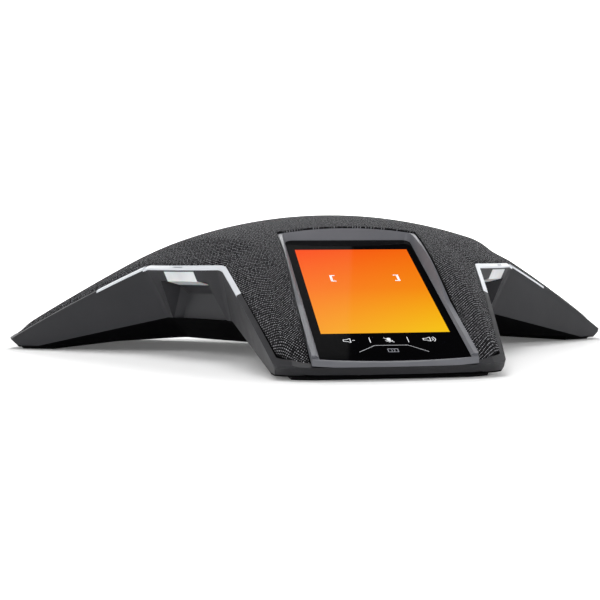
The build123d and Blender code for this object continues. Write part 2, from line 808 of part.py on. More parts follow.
def speaker_yoke():
    """The motor's back plate with its pole."""
    return disc(22, 26.0, 29.3) + disc(POLE, 29.3, 38.0)


def speaker_magnet():
    return tube(24.0, 13.0, 29.3, 34.3)


def speaker_top_plate():
    return tube(21.0, COIL[1] + 0.7, 34.3, 38.3)


def speaker_cone():
    """The moving diaphragm, from the coil's neck to the surround."""
    neck = COIL[1]
    return lathe(
        (neck, 43.5),
        (neck + 0.5, 43.5),
        (neck + 0.5, 46.5),
        (CONE_EDGE, FLANGE_TOP - 0.5),
        (CONE_EDGE, FLANGE_TOP),
        (CONE_EDGE - 1, FLANGE_TOP),
        (neck, 47.0),
    )


def voice_coil():
    return tube(COIL[1], COIL[0], 33.0, 46.8)


def dust_cap():
    """The shallow dome over the coil."""
    radius, edge, rest = 30.0, 12.0, 48.0
    centre = rest - sqrt(radius**2 - edge**2)
    shell = Pos(0, 0, centre) * (Sphere(radius) - Sphere(radius - 0.4))
    return shell & disc(edge, rest, rest + 10)


def cone_surround():
    """The rubber roll between the cone's edge and the frame."""
    middle = (CONE_EDGE + FLANGE_INNER) / 2
    roll, thick = middle - CONE_EDGE + 0.4, 0.5
    ring = Pos(0, 0, FLANGE_TOP) * (Torus(middle, roll) - Torus(middle, roll - thick))
    above = tube(45, 20, FLANGE_TOP, FLANGE_TOP + 10)
    inner_lip = tube(middle - roll + thick, CONE_EDGE - 1, FLANGE_TOP, FLANGE_TOP + thick)
    outer_lip = tube(39.0, middle + roll - thick, FLANGE_TOP, FLANGE_TOP + thick)
    return (ring & above) + inner_lip + outer_lip


def spider():
    """The corrugated disc that centres the coil over the motor."""
    disc_low = 40.6
    return lathe(
        (COIL[1] + 0.5, disc_low + 3.4),
        (COIL[1] + 0.5, disc_low + 3.8),
        (14.0, disc_low + 3.8),
        (17.0, disc_low + 2.6),
        (20.0, disc_low + 3.8),
        (23.0, disc_low - 0.6),
        (24.3, disc_low - 0.6),
        (24.3, disc_low - 1.1),
        (22.6, disc_low - 1.1),
        (19.8, disc_low + 3.2),
        (17.0, disc_low + 2.1),
        (14.0, disc_low + 3.4),
    )


def speaker_gasket():
    """The foam ring that seals the speaker to the underside of the cover."""
    return tube(42.5, 39.2, FLANGE_TOP, 80) & Shells.under_cover


def speaker_lead():
    """The two-core flat lead from the speaker's flange down to the main board."""
    thick = 0.8
    inner, low = CHAMBER[0] + 1.0, BOARD_Z + BOARD
    face = make_face(
        Polyline(
            (47.5, FLANGE_TOP),
            (47.5, FLANGE_TOP + thick),
            (inner + thick, FLANGE_TOP + thick),
            (inner + thick, low),
            (inner, low),
            (inner, FLANGE_TOP),
            close=True,
        )
    )
    return turned(extrude(Plane.XZ * face, amount=1.3, both=True), 20)


def screw(head_r, head, shank_r, shank):
    """A screw standing head down, its seat at height 0 and its shank above."""
    return disc(head_r, -head, 0) + disc(shank_r, 0, shank)


def cover_screws():
    """The screws that hold the bottom cover to the top cover's bosses."""
    one = screw(2.9, 1.8, SCREW, 12.0)
    return Compound([Pos(p.X, p.Y, p.Z + 2.2) * one for p in cover_screw_places()])


def board_screws():
    one = Rot(180, 0, 0) * screw(2.6, 1.5, SCREW - 0.3, 6.5)
    return Compound([Pos(p.X, p.Y, BOARD_Z + BOARD) * one for p in board_screw_places()])


def speaker_screws():
    one = Rot(180, 0, 0) * screw(2.6, 1.5, SCREW - 0.25, 7.0)
    angles = (45, 135, 225, 315)
    return Compound([turned(Pos(SPEAKER_SCREW_R, 0, FLANGE_TOP) * one, angle) for angle in angles])


def rating_label():
    """A blank label on the hub's underside."""
    return Pos(0, 0, BELLY_HEIGHT - 0.06) * Box(44, 26, 0.12)


def pieces():
    """Every node and its solid."""
    made = {
        "speaker_cloth": speaker_cloth(),
        "top_cover": top_cover(),
        "side_housing": side_housing(),
        "bottom_cover": bottom_cover(),
        "display_bezel": display_bezel(),
        "touch_glass": touch_glass(),
        "lcd_panel": lcd_panel(),
        "display_tray": display_tray(),
        "display_screws": display_screws(),
        "contactless_coil": contactless_coil(),
        "display_ribbon": display_ribbon(),
        "main_board": main_board(),
        "shield_cans": shield_cans(),
        "processor": processor(),
        "network_jack": network_jack(),
        "usb_socket": usb_socket(),
        "audio_jack": audio_jack(),
        "wireless_antenna": wireless_antenna(),
        "mic_ribbons": mic_ribbons(),
        "speaker_chamber": speaker_chamber(),
        "speaker_basket": speaker_basket(),
        "speaker_yoke": speaker_yoke(),
        "speaker_magnet": speaker_magnet(),
        "speaker_top_plate": speaker_top_plate(),
        "speaker_cone": speaker_cone(),
        "voice_coil": voice_coil(),
        "dust_cap": dust_cap(),
        "cone_surround": cone_surround(),
        "spider": spider(),
        "speaker_gasket": speaker_gasket(),
        "speaker_lead": speaker_lead(),
        "cover_screws": cover_screws(),
        "board_screws": board_screws(),
        "speaker_screws": speaker_screws(),
        "rating_label": rating_label(),
    }
    for name, angle in ARCH_ANGLES.items():
        made["arch_insert_" + name] = arch_insert(angle)
        made["mic_trim_" + name] = mic_trim(angle)
        made["led_lens_" + name] = led_lens(angle)
        made["mic_board_" + name] = mic_board(angle)
        made["led_board_" + name] = led_board(angle)
    for name, angle in LEG_ANGLES.items():
        made["foot_" + name] = foot(angle)
    return made


os.makedirs("parts", exist_ok=True)
extent = Shells.body.bounding_box()
shift = Pos(-extent.center().X, -extent.center().Y, 0)
print("moved along Y by", round(-extent.center().Y, 4), "size", extent.size)
for name, shape in pieces().items():
    export_step(shift * shape, "parts/" + name + ".step")
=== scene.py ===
import json
import math

import bmesh
import bpy
from mathutils import Matrix, Vector, geometry, kdtree


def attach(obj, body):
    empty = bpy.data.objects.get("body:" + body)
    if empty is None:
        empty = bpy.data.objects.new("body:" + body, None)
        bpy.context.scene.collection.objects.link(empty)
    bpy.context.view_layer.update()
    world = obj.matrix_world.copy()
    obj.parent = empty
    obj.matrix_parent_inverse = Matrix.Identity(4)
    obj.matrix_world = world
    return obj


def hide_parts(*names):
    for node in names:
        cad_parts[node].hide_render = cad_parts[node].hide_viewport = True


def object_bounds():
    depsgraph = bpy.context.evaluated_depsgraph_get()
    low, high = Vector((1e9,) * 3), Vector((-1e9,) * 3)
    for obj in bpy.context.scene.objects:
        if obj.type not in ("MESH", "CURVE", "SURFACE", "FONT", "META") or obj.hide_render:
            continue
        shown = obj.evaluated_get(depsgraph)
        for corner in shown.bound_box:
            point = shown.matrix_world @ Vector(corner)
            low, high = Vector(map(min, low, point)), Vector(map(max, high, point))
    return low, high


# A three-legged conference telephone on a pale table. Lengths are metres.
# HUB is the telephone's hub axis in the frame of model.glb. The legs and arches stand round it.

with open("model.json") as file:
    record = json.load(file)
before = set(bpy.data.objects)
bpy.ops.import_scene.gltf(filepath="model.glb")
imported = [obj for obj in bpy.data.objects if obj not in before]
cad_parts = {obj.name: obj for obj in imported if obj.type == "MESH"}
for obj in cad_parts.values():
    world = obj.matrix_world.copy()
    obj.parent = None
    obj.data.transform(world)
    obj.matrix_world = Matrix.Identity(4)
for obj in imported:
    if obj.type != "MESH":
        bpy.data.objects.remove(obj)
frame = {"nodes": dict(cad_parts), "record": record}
nodes = frame["nodes"]
cad_low, cad_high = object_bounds()

MM = 0.001
HUB = Vector((0.0, cad_low.y + 187.5 * MM, 0.0))
LEGS = {"front": -90.0, "right": 30.0, "left": 150.0}
ARCHES = {"rear": 90.0, "front_left": 210.0, "front_right": -30.0}

# The shape of the cloth, in millimetres about the hub
DOME_TOP, DOME_RADIUS, SKIRT_START = 74.5, 245.0, 119.5
SKIRT_SLOPE = math.tan(math.radians(29.2))
LEG_RIDGE, LEG_FALL, LEG_CROSS, LEG_BOW = 118.2, 0.4989, 0.5, 1.2
LEG_SPAN = (79.8, 171.8)
ARCH_CREST, ARCH_RADIUS, ARCH_CENTRE, ARCH_SLOPE = 47.3, 200.0, -103.4, 0.8
VALLEY_APEX, VALLEY_SPLAY = 56.9, 0.368
CREASE_SOFTNESS, VALLEY_SOFTNESS = 0.8, 6.0
SHOULDER, SHOULDER_RISE = (34.0, 43.0, 60.0), 1.3
SHOULDER_FROM, SHOULDER_FADE, FRONT_LEG_HALF = 62.0, 12.0, 75.0
WARP_PITCH, WEFT_PITCH = 1.35 * MM, 1.3 * MM
ROLL_RISE, ROLL_NEAR, ROLL_FAR = 1.6, 5.0, 26.0
ROLL_START, ROLL_START_FADE, ROLL_END, ROLL_END_FADE = 90.0, 15.0, 182.0, 12.0
BEZEL_SIDE, BEZEL_HEAD = 38.0, -50.0
CLOTH_STEP, ROW_RATIO, EDGE_CLEARANCE = 2.0, 0.866, 0.6
CLOTH_THICKNESS, THREAD_LEAN = 0.8, 0.35

# The display's plane
TILT = math.radians(22.9)
DISPLAY = HUB + Vector((0, -119.4, 36.5)) * MM
ACROSS = Vector((1, 0, 0))
UP_SCREEN = Vector((0, math.cos(TILT), math.sin(TILT)))
OUT_OF_SCREEN = Vector((0, -math.sin(TILT), math.cos(TILT)))
SCREEN = (56.16, 93.6)
KEY_ROW, KEY_SPACING, KEY_DIVIDER = -53.5, 17.2, 8.2
MARK_LIFT, PLATE_HEIGHT, LINE = 0.03, 0.02, 0.34


# ---------------------------------------------------------------- materials

def linear(r, g, b):
    """An sRGB colour, 0 to 255, as Blender's linear values."""
    def one(c):
        c = c / 255
        return c / 12.92 if c <= 0.04045 else ((c + 0.055) / 1.055) ** 2.4
    return (one(r), one(g), one(b), 1.0)


class Shader:
    """A Principled material with short names for the nodes that it is built from."""

    def __init__(self, name, roughness=0.5, **sockets):
        self.material = bpy.data.materials.new(name)
        self.material.use_nodes = True
        self.tree = self.material.node_tree
        self.surface = self.tree.nodes["Principled BSDF"]
        self.surface.inputs["Roughness"].default_value = roughness
        for key, value in sockets.items():
            self.surface.inputs[key.replace("_", " ")].default_value = value
        self.place = self.tree.nodes.new("ShaderNodeTexCoord").outputs["Object"]

    def add(self, kind, **links):
        node = self.tree.nodes.new(kind)
        for key, value in links.items():
            socket = node.inputs[key.replace("_", " ")]
            if isinstance(value, bpy.types.NodeSocket):
                self.tree.links.new(value, socket)
            else:
                socket.default_value = value
        return node

    def math(self, operation, a, b=0.0):
        node = self.tree.nodes.new("ShaderNodeMath")
        node.operation = operation
        for socket, value in zip(node.inputs, (a, b)):
            if isinstance(value, bpy.types.NodeSocket):
                self.tree.links.new(value, socket)
            else:
                socket.default_value = value
        return node.outputs[0]

    def noise(self, scale, detail=3.0):
        return self.add("ShaderNodeTexNoise", Vector=self.place, Scale=scale, Detail=detail,
                        Roughness=0.55).outputs["Fac"]

    def ramp(self, factor, *stops):
        node = self.add("ShaderNodeValToRGB", Fac=factor)
        ramp = node.color_ramp
        while len(ramp.elements) < len(stops):
            ramp.elements.new(0.5)
        for element, (position, colour) in zip(ramp.elements, stops):
            element.position = position
            element.color = colour
        return node.outputs["Color"]

    def colour(self, socket):
        self.tree.links.new(socket, self.surface.inputs["Base Color"])

    def rough(self, socket, low, high):
        node = self.add("ShaderNodeMapRange", Value=socket, To_Min=low, To_Max=high)
        self.tree.links.new(node.outputs["Result"], self.surface.inputs["Roughness"])

    def bump(self, height, distance, strength=1.0):
        node = self.add("ShaderNodeBump", Height=height, Distance=distance, Strength=strength)
        self.tree.links.new(node.outputs["Normal"], self.surface.inputs["Normal"])


def shade(colour, factor):
    return tuple(min(1.0, c * factor) for c in colour[:3]) + (1.0,)


def moulded(name, colour, roughness=0.45, grain=0.00004, size=1500.0, spread=0.12, **sockets):
    """Moulded plastic or rubber: a spark-eroded grain, faint clouding and uneven gloss."""
    s = Shader(name, roughness, **sockets)
    clouds = s.noise(28.0, 4.0)
    s.colour(s.ramp(clouds, (0.3, shade(colour, 1 - spread)), (0.7, shade(colour, 1 + spread))))
    s.rough(s.noise(90.0), roughness - 0.07, roughness + 0.07)
    s.bump(s.noise(size, 2.0), grain)
    return s.material


def metal(name, colour, roughness=0.35):
    """Plated sheet metal with rolling marks along one direction."""
    s = Shader(name, roughness, Metallic=1.0)
    stretch = s.add("ShaderNodeMapping", Vector=s.place, Scale=(20.0, 900.0, 900.0))
    marks = s.add("ShaderNodeTexNoise", Vector=stretch.outputs[0], Scale=1.0, Detail=4.0).outputs["Fac"]
    s.colour(s.ramp(marks, (0.3, shade(colour, 0.85)), (0.7, shade(colour, 1.1))))
    s.rough(marks, roughness - 0.08, roughness + 0.12)
    s.bump(marks, 0.00001)
    return s.material


def circuit_board(name):
    """Solder mask over copper tracks."""
    s = Shader(name, 0.35)
    tracks = s.add("ShaderNodeTexBrick", Vector=s.place, Scale=260.0)
    tracks.inputs["Color1"].default_value = linear(20, 74, 38)
    tracks.inputs["Color2"].default_value = linear(14, 60, 32)
    tracks.inputs["Mortar"].default_value = linear(52, 110, 60)
    s.colour(tracks.outputs["Color"])
    s.bump(tracks.outputs["Fac"], 0.00003)
    return s.material


def woven_cloth(name):
    """Acoustic cloth: over-and-under threads, with pale flecks where they catch the light."""
    s = Shader(name, 0.95, Sheen_Weight=0.03, Sheen_Roughness=0.6, Specular_IOR_Level=0.08)
    s.surface.inputs["Sheen Tint"].default_value = linear(200, 200, 206)
    uv = s.add("ShaderNodeUVMap")
    uv.uv_map = "threads"
    wander = s.add("ShaderNodeTexNoise", Vector=uv.outputs[0], Scale=140.0, Detail=2.0)
    drift = s.add("ShaderNodeVectorMath", Vector=wander.outputs["Color"])
    drift.operation = "SCALE"
    drift.inputs["Scale"].default_value = 0.0005
    pulled = s.add("ShaderNodeVectorMath")
    s.tree.links.new(uv.outputs[0], pulled.inputs[0])
    s.tree.links.new(drift.outputs[0], pulled.inputs[1])
    axes = s.add("ShaderNodeSeparateXYZ", Vector=pulled.outputs[0]).outputs
    warp = s.math("SINE", s.math("MULTIPLY", axes[0], 2 * math.pi / WARP_PITCH))
    weft = s.math("SINE", s.math("MULTIPLY", axes[1], 2 * math.pi / WEFT_PITCH))
    crossing = s.math("MULTIPLY", warp, weft)
    threads = s.math("MULTIPLY", s.math("ADD", crossing, 1.0), 0.5)
    stretch = s.add("ShaderNodeMapping", Vector=uv.outputs[0], Scale=(700.0, 1500.0, 1.0))
    fibre = s.add("ShaderNodeTexNoise", Vector=stretch.outputs[0], Scale=1.0, Detail=2.0).outputs["Fac"]
    fleck = s.math("MULTIPLY", threads, s.math("ADD", fibre, 0.5))
    s.colour(s.ramp(fleck, (0.3, linear(2, 2, 3)), (0.62, linear(7, 7, 9)), (0.8, linear(35, 35, 38)),
                    (0.96, linear(164, 164, 168))))
    s.bump(s.math("ADD", threads, s.math("MULTIPLY", fibre, 0.4)), 0.0003, 0.9)
    return s.material


def glass_black(name):
    """The touch glass, printed black on its back, with faint smears in its gloss."""
    s = Shader(name, 0.06, Specular_IOR_Level=0.05)
    smear = s.noise(16.0, 5.0)
    s.colour(s.ramp(smear, (0.2, linear(0, 0, 1)), (0.8, linear(2, 2, 3))))
    s.rough(smear, 0.03, 0.07)
    return s.material


def lens_plastic(name):
    """Frosted light pipe, a little brighter where it is thin."""
    s = Shader(name, 0.42, Subsurface_Weight=0.4, Subsurface_Scale=0.004)
    s.colour(s.ramp(s.noise(60.0), (0.3, linear(196, 198, 200)), (0.7, linear(216, 217, 219))))
    s.bump(s.noise(900.0), 0.00003)
    return s.material


def screen_picture_and_glare(name):
    """The lit wallpaper: red-orange at the top left, through orange, to yellow at the lower right, with
    painted glare making the left side paler.
    """
    s = Shader(name, 0.05, Specular_IOR_Level=0.05)
    s.surface.inputs["Base Color"].default_value = (0.0, 0.0, 0.0, 1.0)
    uv = s.add("ShaderNodeUVMap")
    uv.uv_map = "screen"
    axes = s.add("ShaderNodeSeparateXYZ", Vector=uv.outputs[0]).outputs
    down = s.math("SUBTRACT", 1.0, axes[1])
    # Painted glare: the left-hand colours are paler and bluer than the wallpaper itself; the right-hand
    # colours carry none.
    left = s.ramp(down, (0.0, linear(251, 77, 24)), (0.5, linear(250, 121, 36)),
                  (1.0, linear(248, 163, 44)))
    right = s.ramp(down, (0.0, linear(244, 101, 8)), (0.5, linear(245, 137, 14)),
                   (1.0, linear(246, 196, 22)))
    lit = s.add("ShaderNodeMix")
    lit.data_type = "RGBA"
    s.tree.links.new(axes[0], lit.inputs["Factor"])
    s.tree.links.new(left, lit.inputs[6])
    s.tree.links.new(right, lit.inputs[7])
    s.tree.links.new(lit.outputs[2], s.surface.inputs["Emission Color"])
    s.surface.inputs["Emission Strength"].default_value = 1.0
    return s.material


def printed(name, colour):
    """A lit symbol under the glass, with slightly uneven cover."""
    s = Shader(name, 0.3)
    s.surface.inputs["Base Color"].default_value = (0.01, 0.01, 0.01, 1.0)
    ink = s.ramp(s.noise(700.0), (0.3, shade(colour, 0.93)), (0.7, shade(colour, 1.0)))
    s.tree.links.new(ink, s.surface.inputs["Emission Color"])
    s.surface.inputs["Emission Strength"].default_value = 1.0
    return s.material


CLOTH = woven_cloth("woven_cloth")
LOOKS = {
    "grey_plastic": moulded("grey_plastic", linear(37, 37, 40), 0.5, Specular_IOR_Level=0.22),
    "black_plastic": moulded("black_plastic", linear(3, 3, 4), 0.8, Specular_IOR_Level=0.02),
    "silver_trim": moulded("silver_trim", linear(203, 206, 211), 0.35, grain=0.00001, spread=0.03,
                           Coat_Weight=0.2),
    "bezel": moulded("bezel", linear(92, 93, 98), 0.55, grain=0.00001, Specular_IOR_Level=0.3),
    "lens": lens_plastic("lens"),
    "glass": glass_black("glass"),
    "panel": moulded("panel", linear(30, 30, 34), 0.4),
    "sheet_steel": metal("sheet_steel", linear(176, 178, 182)),
    "screw_steel": metal("screw_steel", linear(96, 97, 100), 0.3),
    "circuit_board": circuit_board("circuit_board"),
    "chip": moulded("chip", linear(26, 26, 28), 0.5),
    "flex": moulded("flex", linear(150, 98, 42), 0.3, spread=0.2),
    "ferrite": moulded("ferrite", linear(58, 58, 60), 0.6, grain=0.0001),
    "copper": metal("copper", linear(184, 112, 74), 0.3),
    "paper": moulded("paper", linear(44, 43, 42), 0.85, grain=0.0002, size=600.0),
    "soft_rubber": moulded("soft_rubber", linear(12, 12, 13), 0.8, grain=0.0001, Specular_IOR_Level=0.1),
    "foam": moulded("foam", linear(38, 38, 40), 0.95, grain=0.0006, size=900.0),
    "label": moulded("label", linear(196, 196, 192), 0.5, spread=0.03),
}


def dress_nodes():
    """Each CAD node takes the look of its material slot."""
    for part in frame["record"]["subparts"]:
        look = LOOKS.get(part["material_slot"], CLOTH)
        mesh = nodes[part["node"]].data
        mesh.materials.clear()
        mesh.materials.append(look)


# ---------------------------------------------------------------- the cloth

def soft_lower(a, b, width):
    """The lower of two heights, rounded where they cross."""
    blend = max(width - abs(a - b), 0.0) / width
    return min(a, b) - blend * blend * width / 4


def dome_height(rho):
    if rho < SKIRT_START:
        return DOME_TOP - DOME_RADIUS + math.sqrt(DOME_RADIUS**2 - rho**2)
    foot = DOME_TOP - DOME_RADIUS + math.sqrt(DOME_RADIUS**2 - SKIRT_START**2)
    return foot - SKIRT_SLOPE * (rho - SKIRT_START)


def facing(x, y, angle):
    """A point's distance along a direction and across it."""
    c, s = math.cos(math.radians(angle)), math.sin(math.radians(angle))
    return x * c + y * s, y * c - x * s


def smooth(value):
    value = min(max(value, 0.0), 1.0)
    return value * value * (3 - 2 * value)


def shoulder_rise(x, y, t):
    """How far the cloth stands up where it rolls over beside the display."""
    near, top, foot = SHOULDER
    rise = smooth((t - near) / (top - near)) * smooth((foot - t) / (foot - top))
    return SHOULDER_RISE * rise * smooth((-y - SHOULDER_FROM) / SHOULDER_FADE) * (abs(x) < FRONT_LEG_HALF)


def flank_height(x, y):
    """The flanks: a ridge along each leg and a cone over each arch, joined in soft valleys."""
    arch = 1e9
    for angle in ARCHES.values():
        rho, across = facing(x, y, angle)
        arch = min(arch, ARCH_CREST + ARCH_SLOPE * (ARCH_RADIUS - math.hypot(rho - ARCH_CENTRE, across)))
    r, t = max((facing(x, y, angle) for angle in LEGS.values()), key=lambda place: place[0])
    t = abs(t)
    middle, half = sum(LEG_SPAN) / 2, (LEG_SPAN[1] - LEG_SPAN[0]) / 2
    bow = LEG_BOW * (1 - ((r - middle) / half) ** 2)
    leg = LEG_RIDGE - LEG_FALL * r - LEG_CROSS * t + bow + shoulder_rise(x, y, t)
    beyond = (t * VALLEY_SPLAY - (r - VALLEY_APEX)) / math.hypot(1, VALLEY_SPLAY)
    return leg + (arch - leg) * smooth(0.5 + beyond / (2 * VALLEY_SOFTNESS))


def cloth_height(x, y):
    return soft_lower(dome_height(math.hypot(x, y)), flank_height(x, y), CREASE_SOFTNESS)


def roll_rise(distance, rho):
    """How far the cloth stands up in a soft roll just inside the rim of a leg."""
    roll = smooth(distance / ROLL_NEAR) * (1 - smooth((distance - ROLL_NEAR) / (ROLL_FAR - ROLL_NEAR)))
    along = smooth((rho - ROLL_START) / ROLL_START_FADE) * smooth((ROLL_END - rho) / ROLL_END_FADE)
    return ROLL_RISE * roll * along


def rim_tree(edge):
    """The cloth's edge along the rim, leaving out the part beside the display, for distances."""
    rim = [p for p in edge if abs(p.x) > BEZEL_SIDE * MM or p.y - HUB.y > BEZEL_HEAD * MM]
    tree = kdtree.KDTree(len(rim))
    for i, p in enumerate(rim):
        tree.insert((p.x, p.y, 0.0), i)
    tree.balance()
    return tree


def rim_links(work):
    """For each vertex on the edge of a shell's upper face, the vertices beside it on that edge."""
    links = {}
    for edge in work.edges:
        if len(edge.link_faces) != 2:
            continue
        side, top = sorted(face.normal.z for face in edge.link_faces)
        if top > 0.35 and side < 0.3:
            a, b = edge.verts
            links.setdefault(a.index, []).append(b.index)
            links.setdefault(b.index, []).append(a.index)
    return links


def top_outline(node):
    """The closed edge of a CAD shell's upper face, as points in order."""
    work = bmesh.new()
    work.from_mesh(nodes[node].data)
    bmesh.ops.remove_doubles(work, verts=work.verts, dist=1e-6)
    work.normal_update()
    links = rim_links(work)
    places = [v.co.copy() for v in work.verts]
    work.free()
    best = []
    seen = set()
    for start in links:
        if start in seen:
            continue
        loop, at, before = [start], start, None
        seen.add(start)
        while True:
            step = [n for n in links[at] if n != before and n not in seen]
            if not step:
                break
            before, at = at, step[0]
            seen.add(at)
            loop.append(at)
        if len(loop) > len(best):
            best = loop
    return [places[i] for i in best]


def evenly(points, step):
    """A closed line through the points, divided into steps of about one length."""
    out = []
    for a, b in zip(points, points[1:] + points[:1]):
        count = max(1, round((b - a).length / step))
        out += [a.lerp(b, i / count) for i in range(count)]
    return out


def inside(x, y, ring):
    odd = False
    for (ax, ay), (bx, by) in zip(ring, ring[1:] + ring[:1]):
        if (ay > y) != (by > y) and x < (bx - ax) * (y - ay) / (by - ay) + ax:
            odd = not odd
    return odd


def fill_points(edge):
    """Points of a triangular grid that lie inside the edge and clear of it."""
    step = CLOTH_STEP * MM
    ring = [(p.x, p.y) for p in edge]
    low_x, high_x = min(p.x for p in edge), max(p.x for p in edge)
    low_y, high_y = min(p.y for p in edge), max(p.y for p in edge)
    near = {}
    for p in edge:
        near.setdefault((round(p.x / step), round(p.y / step)), []).append(p)
    out = []
    for row in range(int((high_y - low_y) / (step * ROW_RATIO)) + 1):
        for column in range(int((high_x - low_x) / step) + 2):
            x = low_x + (column + 0.5 * (row % 2)) * step
            y = low_y + row * step * ROW_RATIO
            key = (round(x / step), round(y / step))
            close = any((p - Vector((x, y))).length < step * EDGE_CLEARANCE
                        for i in (-1, 0, 1) for j in (-1, 0, 1)
                        for p in near.get((key[0] + i, key[1] + j), []))
            if not close and inside(x, y, ring):
                out.append(Vector((x, y)))
    return out


def cloth_mesh():
    """The cloth's surface: triangles inside the outline of its CAD shell, raised to its height formula."""
    edge = evenly([Vector((p.x, p.y)) for p in top_outline("speaker_cloth")], CLOTH_STEP * MM)
    count = len(edge)
    border = [(i, (i + 1) % count) for i in range(count)]
    found = geometry.delaunay_2d_cdt(edge + fill_points(edge), border, [list(range(count))], 1, 1e-7)
    flat, faces = found[0], found[2]
    rim = rim_tree(edge)
    heights = []
    for p in flat:
        x, y = (p.x - HUB.x) / MM, (p.y - HUB.y) / MM
        distance = rim.find((p.x, p.y, 0.0))[2] / MM
        heights.append((cloth_height(x, y) + roll_rise(distance, math.hypot(x, y))) * MM)
    mesh = bpy.data.meshes.new("cloth_sheet")
    mesh.from_pydata([(p.x, p.y, z) for p, z in zip(flat, heights)], [], [list(f) for f in faces])
    mesh.update()
    return mesh


def make_cloth():
    """The cloth as one thick sheet, with its threads laid out as seen from above."""
    mesh = cloth_mesh()
    threads = mesh.uv_layers.new(name="threads")
    for loop in mesh.loops:
        co = mesh.vertices[loop.vertex_index].co
        threads.data[loop.index].uv = (co.x, co.y - THREAD_LEAN * co.z)
    for polygon in mesh.polygons:
        polygon.use_smooth = True
    cloth = bpy.data.objects.new("cloth_sheet", mesh)
    bpy.context.scene.collection.objects.link(cloth)
    thick = cloth.modifiers.new("thickness", "SOLIDIFY")
    thick.thickness = CLOTH_THICKNESS * MM
    thick.offset = -1.0
    mesh.materials.append(CLOTH)
    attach(cloth, "phone")
    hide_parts("speaker_cloth")


# ---------------------------------------------------------------- the display

def on_display(u, v, w=0.0):
    return DISPLAY + (ACROSS * u + UP_SCREEN * v + OUT_OF_SCREEN * w) * MM


def flat_piece(name, shapes, look, lift=MARK_LIFT):
    """Thin plates on the glass, one for each outline in millimetres across and up the display."""
    work = bmesh.new()
    for outline in shapes:
        lower = [work.verts.new(on_display(u, v, lift)) for u, v in outline]
        upper = [work.verts.new(on_display(u, v, lift + PLATE_HEIGHT)) for u, v in outline]
        work.faces.new(upper)
        work.faces.new(lower[::-1])
        for i in range(len(outline)):
            j = (i + 1) % len(outline)
            work.faces.new((lower[i], lower[j], upper[j], upper[i]))
    bmesh.ops.recalc_face_normals(work, faces=work.faces)
    mesh = bpy.data.meshes.new(name)
    work.to_mesh(mesh)
    work.free()
    screen = mesh.uv_layers.new(name="screen")
    for loop in mesh.loops:
        away = (mesh.vertices[loop.vertex_index].co - DISPLAY) / MM
        screen.data[loop.index].uv = (0.5 + away.x / SCREEN[0], 0.5 + away.dot(UP_SCREEN) / SCREEN[1])
    piece = bpy.data.objects.new(name, mesh)
    bpy.context.scene.collection.objects.link(piece)
    mesh.materials.append(look)
    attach(piece, "phone")


def rectangle(u, v, width, height):
    return [(u - width / 2, v - height / 2), (u + width / 2, v - height / 2),
            (u + width / 2, v + height / 2), (u - width / 2, v + height / 2)]


def stroke(points, width):
    """A line of constant width through points, as quadrilaterals."""
    out = []
    for (ax, ay), (bx, by) in zip(points, points[1:]):
        length = math.hypot(bx - ax, by - ay)
        nx, ny = -(by - ay) / length * width / 2, (bx - ax) / length * width / 2
        out.append([(ax + nx, ay + ny), (ax - nx, ay - ny), (bx - nx, by - ny), (bx + nx, by + ny)])
    return out


def arc(u, v, radius, start, stop, count=8):
    angles = [math.radians(start + (stop - start) * i / count) for i in range(count + 1)]
    return [(u + radius * math.cos(a), v + radius * math.sin(a)) for a in angles]


def loudspeaker_symbol(u, v):
    """A loudspeaker in outline, opening to the right."""
    outline = [(u - 2.3, v - 0.8), (u - 0.9, v - 0.8), (u + 0.7, v - 1.9), (u + 0.7, v + 1.9),
               (u - 0.9, v + 0.8), (u - 2.3, v + 0.8), (u - 2.3, v - 0.8)]
    return stroke(outline, LINE)


def microphone_symbol(u, v):
    """A microphone on its stand, crossed out."""
    capsule = arc(u, v + 1.0, 0.85, 0, 180) + arc(u, v - 0.2, 0.85, 180, 360)
    cradle = stroke(arc(u, v - 0.2, 1.5, 190, 350), LINE)
    stand = stroke([(u, v - 1.7), (u, v - 2.4)], LINE)
    return [capsule] + cradle + stand + stroke([(u - 2.0, v + 2.0), (u + 2.0, v - 2.3)], LINE)


def bracket(side):
    """One of the two square brackets that frame the middle of the screen."""
    outer, inner, low, high = 0.9 + side * 15.95, 0.9 + side * 14.0, 8.0, 15.2
    upright = stroke([(outer, low), (outer, high)], 1.1)
    upper = stroke([(outer, high - 0.4), (inner, high - 0.4)], 0.9)
    lower = stroke([(outer, low + 0.4), (inner, low + 0.4)], 0.9)
    return upright + upper + lower


def touch_point(u, v):
    """A plain rounded tile with two waves, where a card or telephone is held."""
    tile = stroke([(u - 2.1, v - 1.4), (u + 2.1, v - 1.4), (u + 2.1, v + 1.4), (u - 2.1, v + 1.4),
                   (u - 2.1, v - 1.4)], 0.4)
    return tile + stroke(arc(u - 1.5, v, 1.1, -50, 50), 0.35) + stroke(arc(u - 1.5, v, 2.2, -32, 32), 0.35)


